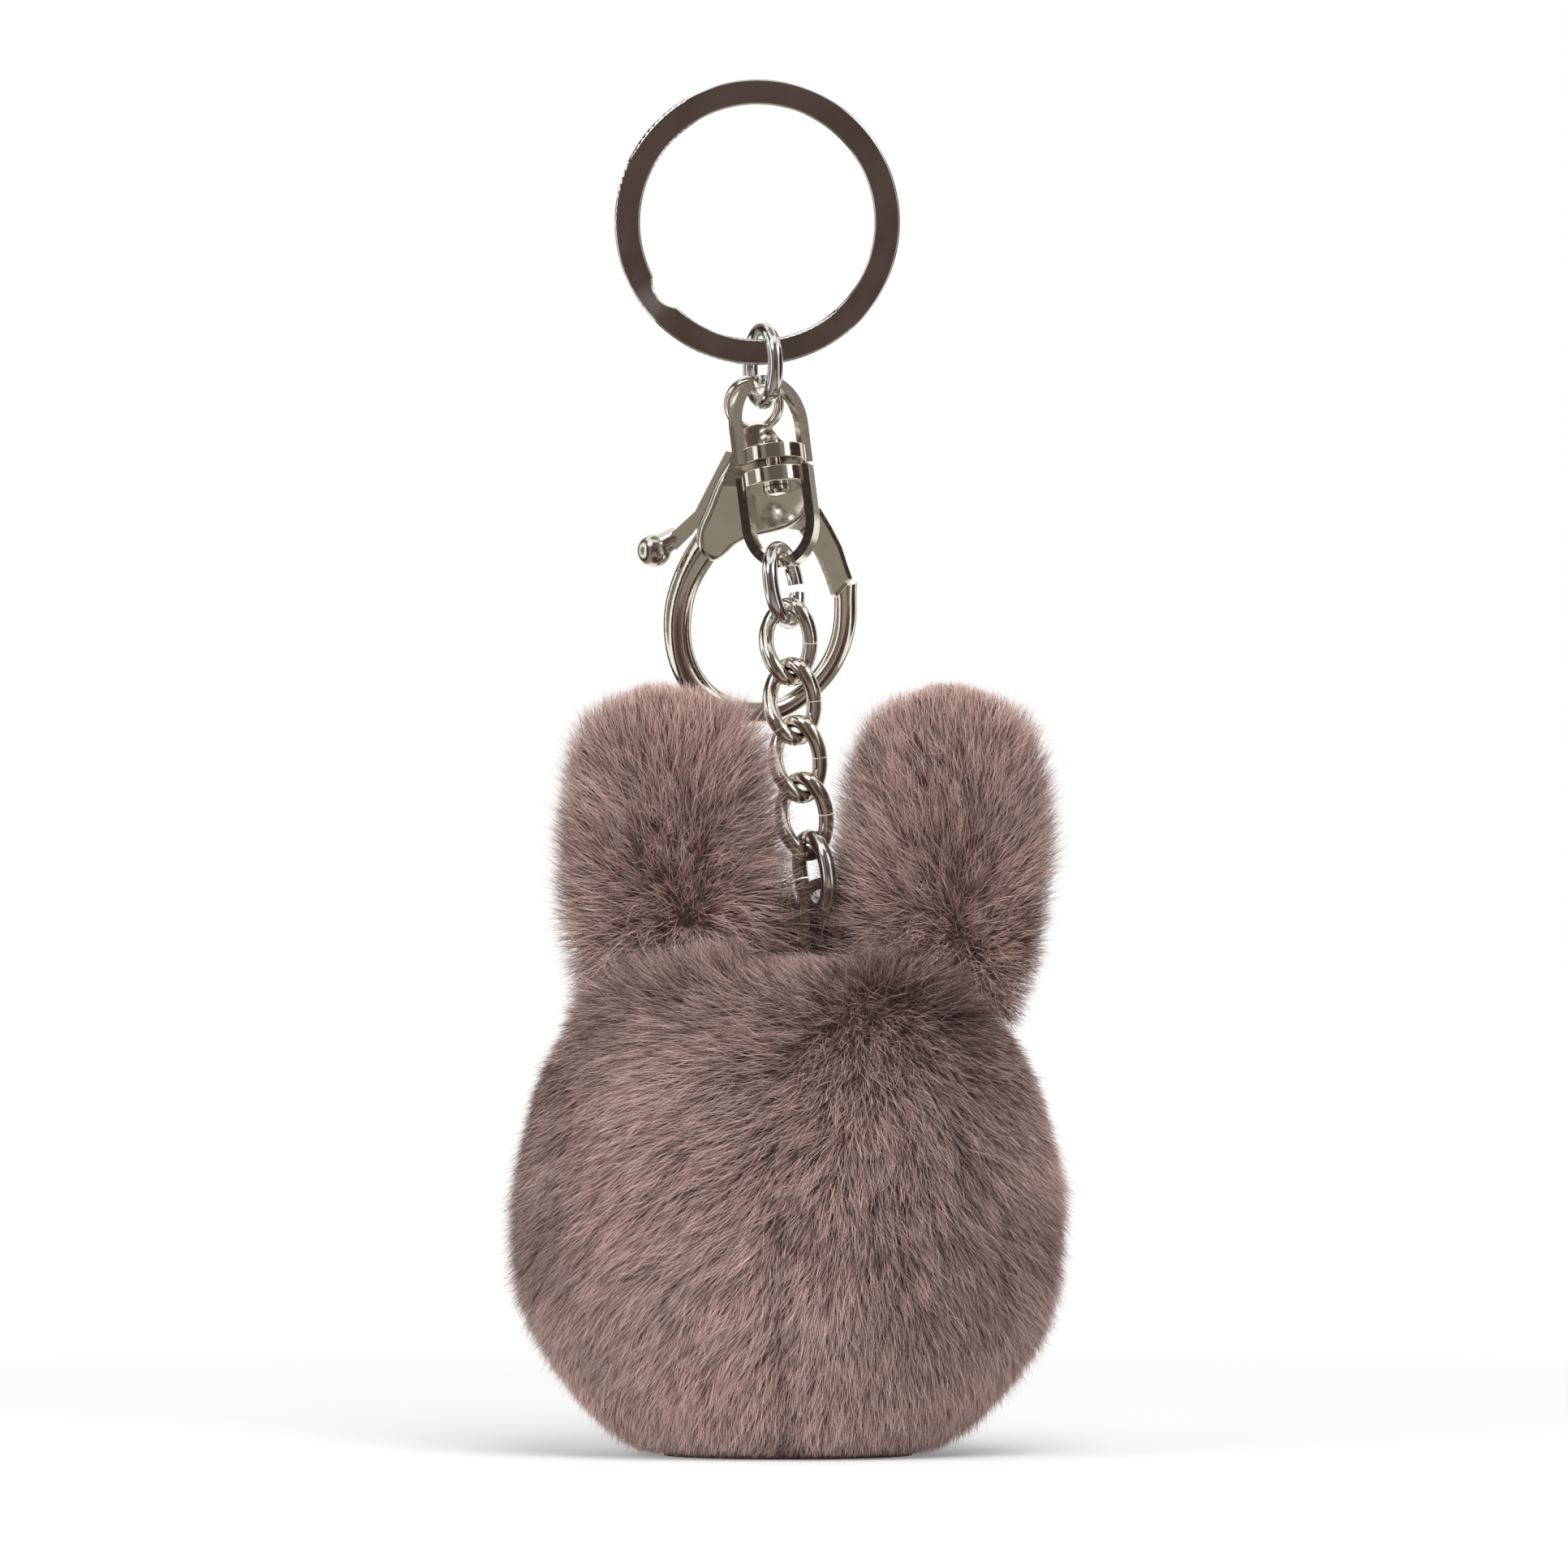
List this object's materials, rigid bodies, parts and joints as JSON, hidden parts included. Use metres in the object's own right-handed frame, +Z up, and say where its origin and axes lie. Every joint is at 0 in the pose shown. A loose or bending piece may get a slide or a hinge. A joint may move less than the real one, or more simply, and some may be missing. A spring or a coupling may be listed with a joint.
{
  "type": "plush keychain",
  "caption": "Furry rabbit-head charm with upright ears and a flat base, hung by a braided loop and a curb chain with a swivel and a lobster clasp from a split key ring.",
  "frame": {"origin": "centre of the split key ring", "axes": "+X right and +Z up as the part hangs from its key ring, +Y from the side with the back seam towards the face; the chain leans slightly towards -Y and +X, as it lies when the part stands on its base"},
  "size_m": [0.053, 0.0473, 0.144],
  "materials": {
    "bright_nickel": "polished, plated",
    "warm_nickel": "polished, slightly warm plating",
    "spring_steel": "drawn wire",
    "fur_cloth": "long soft pile",
    "filling": "loose fibre",
    "braided_cord": "plaited",
    "base_cloth": "short pile",
    "eye": "gloss",
    "nose": "flocked"
  },
  "bodies": {
    "key_ring": {"split_ring": "bright_nickel"},
    "upper_ring": {"upper_jump_ring": "bright_nickel"},
    "swivel_upper": {"swivel_upper_stirrup": "warm_nickel", "swivel_rivet": "warm_nickel"},
    "swivel_lower": {"swivel_lower_stirrup": "warm_nickel"},
    "lower_ring": {"lower_jump_ring": "bright_nickel"},
    "link_1": {"chain_link_1": "warm_nickel"},
    "link_2": {"chain_link_2": "warm_nickel"},
    "link_3": {"chain_link_3": "warm_nickel"},
    "link_4": {"chain_link_4": "warm_nickel"},
    "end_ring": {"end_ring": "bright_nickel"},
    "plush": {"hanging_loop": "braided_cord", "head_back_left_panel": "fur_cloth", "head_back_right_panel": "fur_cloth", "head_front_panel": "fur_cloth", "head_stuffing": "filling", "ear_left_back_panel": "fur_cloth", "ear_left_front_panel": "fur_cloth", "ear_left_filling": "filling", "ear_right_back_panel": "fur_cloth", "ear_right_front_panel": "fur_cloth", "ear_right_filling": "filling", "base_panel": "base_cloth", "eye_left": "eye", "eye_right": "eye", "nose": "nose"},
    "clasp": {"clasp_body": "warm_nickel", "clasp_pivot_pin": "warm_nickel", "clasp_spring": "spring_steel"},
    "clasp_lever": {"clasp_lever": "warm_nickel"}
  },
  "joints": [
    {"name": "key_ring_swing", "type": "hinge", "parent": "key_ring", "child": "upper_ring", "pos_m": [0.0006, 0, -0.01365], "axis": [1, 0, 0], "range_deg": [-25, 25]},
    {"name": "swivel_swing", "type": "hinge", "parent": "upper_ring", "child": "swivel_upper", "pos_m": [0.00089, -0.0008, -0.01878], "axis": [-0.3336, 0.9165, -0.2208], "range_deg": [-8, 12]},
    {"name": "swivel_turn", "type": "hinge", "parent": "swivel_upper", "child": "swivel_lower", "pos_m": [0.00175, -0.0027, -0.0259], "axis": [-0.1214, 0.204, 0.9714], "continuous": true},
    {"name": "lower_ring_swing", "type": "hinge", "parent": "swivel_lower", "child": "lower_ring", "pos_m": [0.003, -0.00479, -0.03588], "axis": [0.9105, -0.3667, 0.1908], "range_deg": [-15, 15]},
    {"name": "link_1_swing", "type": "hinge", "parent": "lower_ring", "child": "link_1", "pos_m": [0.00313, -0.00569, -0.04196], "axis": [-0.3559, -0.9265, 0.1219], "range_deg": [-20, 20]},
    {"name": "link_2_swing", "type": "hinge", "parent": "link_1", "child": "link_2", "pos_m": [0.00341, -0.00672, -0.04814], "axis": [0.6736, 0.7327, -0.0976], "range_deg": [-15, 15]},
    {"name": "link_3_swing", "type": "hinge", "parent": "link_2", "child": "link_3", "pos_m": [0.00396, -0.00772, -0.05433], "axis": [0.7497, 0.6597, -0.0522], "range_deg": [-7, 10]},
    {"name": "link_4_swing", "type": "hinge", "parent": "link_3", "child": "link_4", "pos_m": [0.00468, -0.00872, -0.06032], "axis": [0.7509, 0.6598, -0.0296], "range_deg": [-7, 10]},
    {"name": "end_ring_swing", "type": "hinge", "parent": "link_4", "child": "end_ring", "pos_m": [0.00537, -0.00972, -0.06628], "axis": [0.7511, 0.6598, -0.022], "range_deg": [-15, 15]},
    {"name": "plush_swing", "type": "hinge", "parent": "end_ring", "child": "plush", "pos_m": [0.00677, -0.01058, -0.07199], "axis": [0.3332, -0.9147, 0.2288], "range_deg": [-8, 15]},
    {"name": "clasp_swing", "type": "hinge", "parent": "upper_ring", "child": "clasp", "pos_m": [0.00002, 0.0016, -0.01847], "axis": [0, -0.9703, -0.2419], "range_deg": [-12, 12]},
    {"name": "clasp_gate", "type": "hinge", "parent": "clasp", "child": "clasp_lever", "pos_m": [0.00075, 0.00376, -0.02713], "axis": [0, 0.9703, 0.2419], "range_deg": [0, 15], "stiffness_Nm_per_rad": 0.004, "springref_deg": -28.65}
  ]
}
